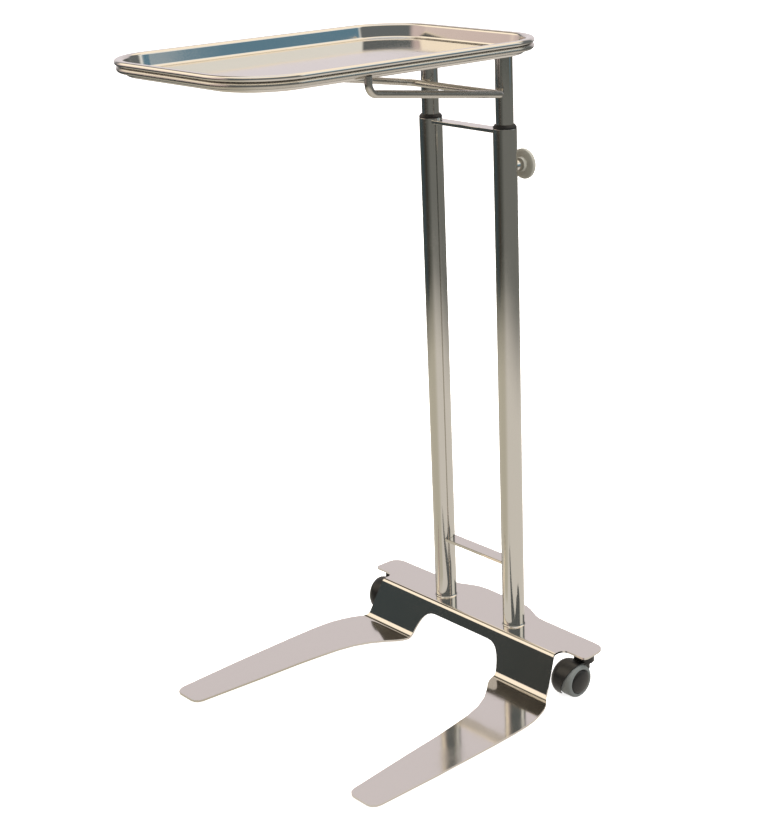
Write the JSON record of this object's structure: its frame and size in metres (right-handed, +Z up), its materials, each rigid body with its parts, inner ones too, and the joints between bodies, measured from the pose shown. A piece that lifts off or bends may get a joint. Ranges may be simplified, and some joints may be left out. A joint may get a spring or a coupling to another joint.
{
  "type": "double-post instrument stand",
  "caption": "Height-adjustable instrument stand: lift-off tray on a rod frame, twin telescoping posts with a hand clamp, bent-sheet base with flat legs and swivel casters.",
  "frame": {"origin": "on the floor, at the middle of the stand's footprint box; the line of the posts is 208.25 mm behind it", "axes": "+Z up, +X from the plain post to the post with the hand clamp, -Y the way the tray and the legs reach"},
  "size_m": [0.44, 0.5214, 0.9],
  "materials": {
    "mirror_stainless": "polished",
    "bright_zinc_steel": "satin",
    "black_nylon": "satin",
    "natural_nylon": "satin",
    "light_grey_knob_plastic": "satin",
    "grey_tread_rubber": "matte"
  },
  "bodies": {
    "base": {"base_plate": "mirror_stainless", "outer_tube_left": "mirror_stainless", "foot_plug_left": "bright_zinc_steel", "foot_washer_left": "bright_zinc_steel", "foot_bolt_left": "bright_zinc_steel", "guide_collar_left": "black_nylon", "caster_stem_left": "bright_zinc_steel", "outer_tube_right": "mirror_stainless", "foot_plug_right": "bright_zinc_steel", "foot_washer_right": "bright_zinc_steel", "foot_bolt_right": "bright_zinc_steel", "guide_collar_right": "black_nylon", "caster_stem_right": "bright_zinc_steel", "upper_crossbar": "mirror_stainless", "lower_crossbar": "mirror_stainless", "clamp_boss": "mirror_stainless"},
    "mast": {"inner_tube_left": "mirror_stainless", "lower_guide_left": "natural_nylon", "saddle_plug_left": "mirror_stainless", "inner_tube_right": "mirror_stainless", "lower_guide_right": "natural_nylon", "saddle_plug_right": "mirror_stainless", "brace_rod": "mirror_stainless", "tray_frame": "mirror_stainless"},
    "tray": {"tray": "mirror_stainless"},
    "clamp_pad": {"clamp_pad": "natural_nylon"},
    "clamp_screw": {"clamp_knob": "light_grey_knob_plastic", "clamp_stud": "bright_zinc_steel"},
    "caster_left": {"caster_hood_left": "black_nylon", "wheel_axle_left": "bright_zinc_steel"},
    "wheel_left": {"wheel_tread_left": "grey_tread_rubber", "wheel_hub_left": "black_nylon", "hub_cap_left": "black_nylon"},
    "caster_right": {"caster_hood_right": "black_nylon", "wheel_axle_right": "bright_zinc_steel"},
    "wheel_right": {"wheel_tread_right": "grey_tread_rubber", "wheel_hub_right": "black_nylon", "hub_cap_right": "black_nylon"}
  },
  "joints": [
    {"name": "mast_slide", "type": "slide", "parent": "base", "child": "mast", "axis": [0, 0, 1], "range_m": [-0.026, 0.445]},
    {"name": "tray_lift", "type": "slide", "parent": "mast", "child": "tray", "axis": [0, 0, 1], "range_m": [0, 0.15]},
    {"name": "clamp_advance", "type": "slide", "parent": "base", "child": "clamp_pad", "axis": [0, 1, 0], "range_m": [0, 0.0015]},
    {"name": "knob_turn", "type": "hinge", "parent": "clamp_pad", "child": "clamp_screw", "pos_m": [0.071, 0.24425, 0.725], "axis": [0, 1, 0], "range_deg": [0, 360]},
    {"name": "swivel_right", "type": "hinge", "parent": "base", "child": "caster_right", "pos_m": [0.199, 0.21775, 0.045], "axis": [0, 0, 1], "continuous": true},
    {"name": "swivel_left", "type": "hinge", "parent": "base", "child": "caster_left", "pos_m": [-0.199, 0.21775, 0.045], "axis": [0, 0, 1], "continuous": true},
    {"name": "wheel_right_roll", "type": "hinge", "parent": "caster_right", "child": "wheel_right", "pos_m": [0.199, 0.19375, 0.0235], "axis": [1, 0, 0], "continuous": true},
    {"name": "wheel_left_roll", "type": "hinge", "parent": "caster_left", "child": "wheel_left", "pos_m": [-0.19079, 0.1952, 0.0235], "axis": [0.9397, 0.342, 0], "continuous": true}
  ],
  "couplings": [
    {"joint": "clamp_advance", "follows": "knob_turn", "m_per_rad": 0.00023873}
  ]
}
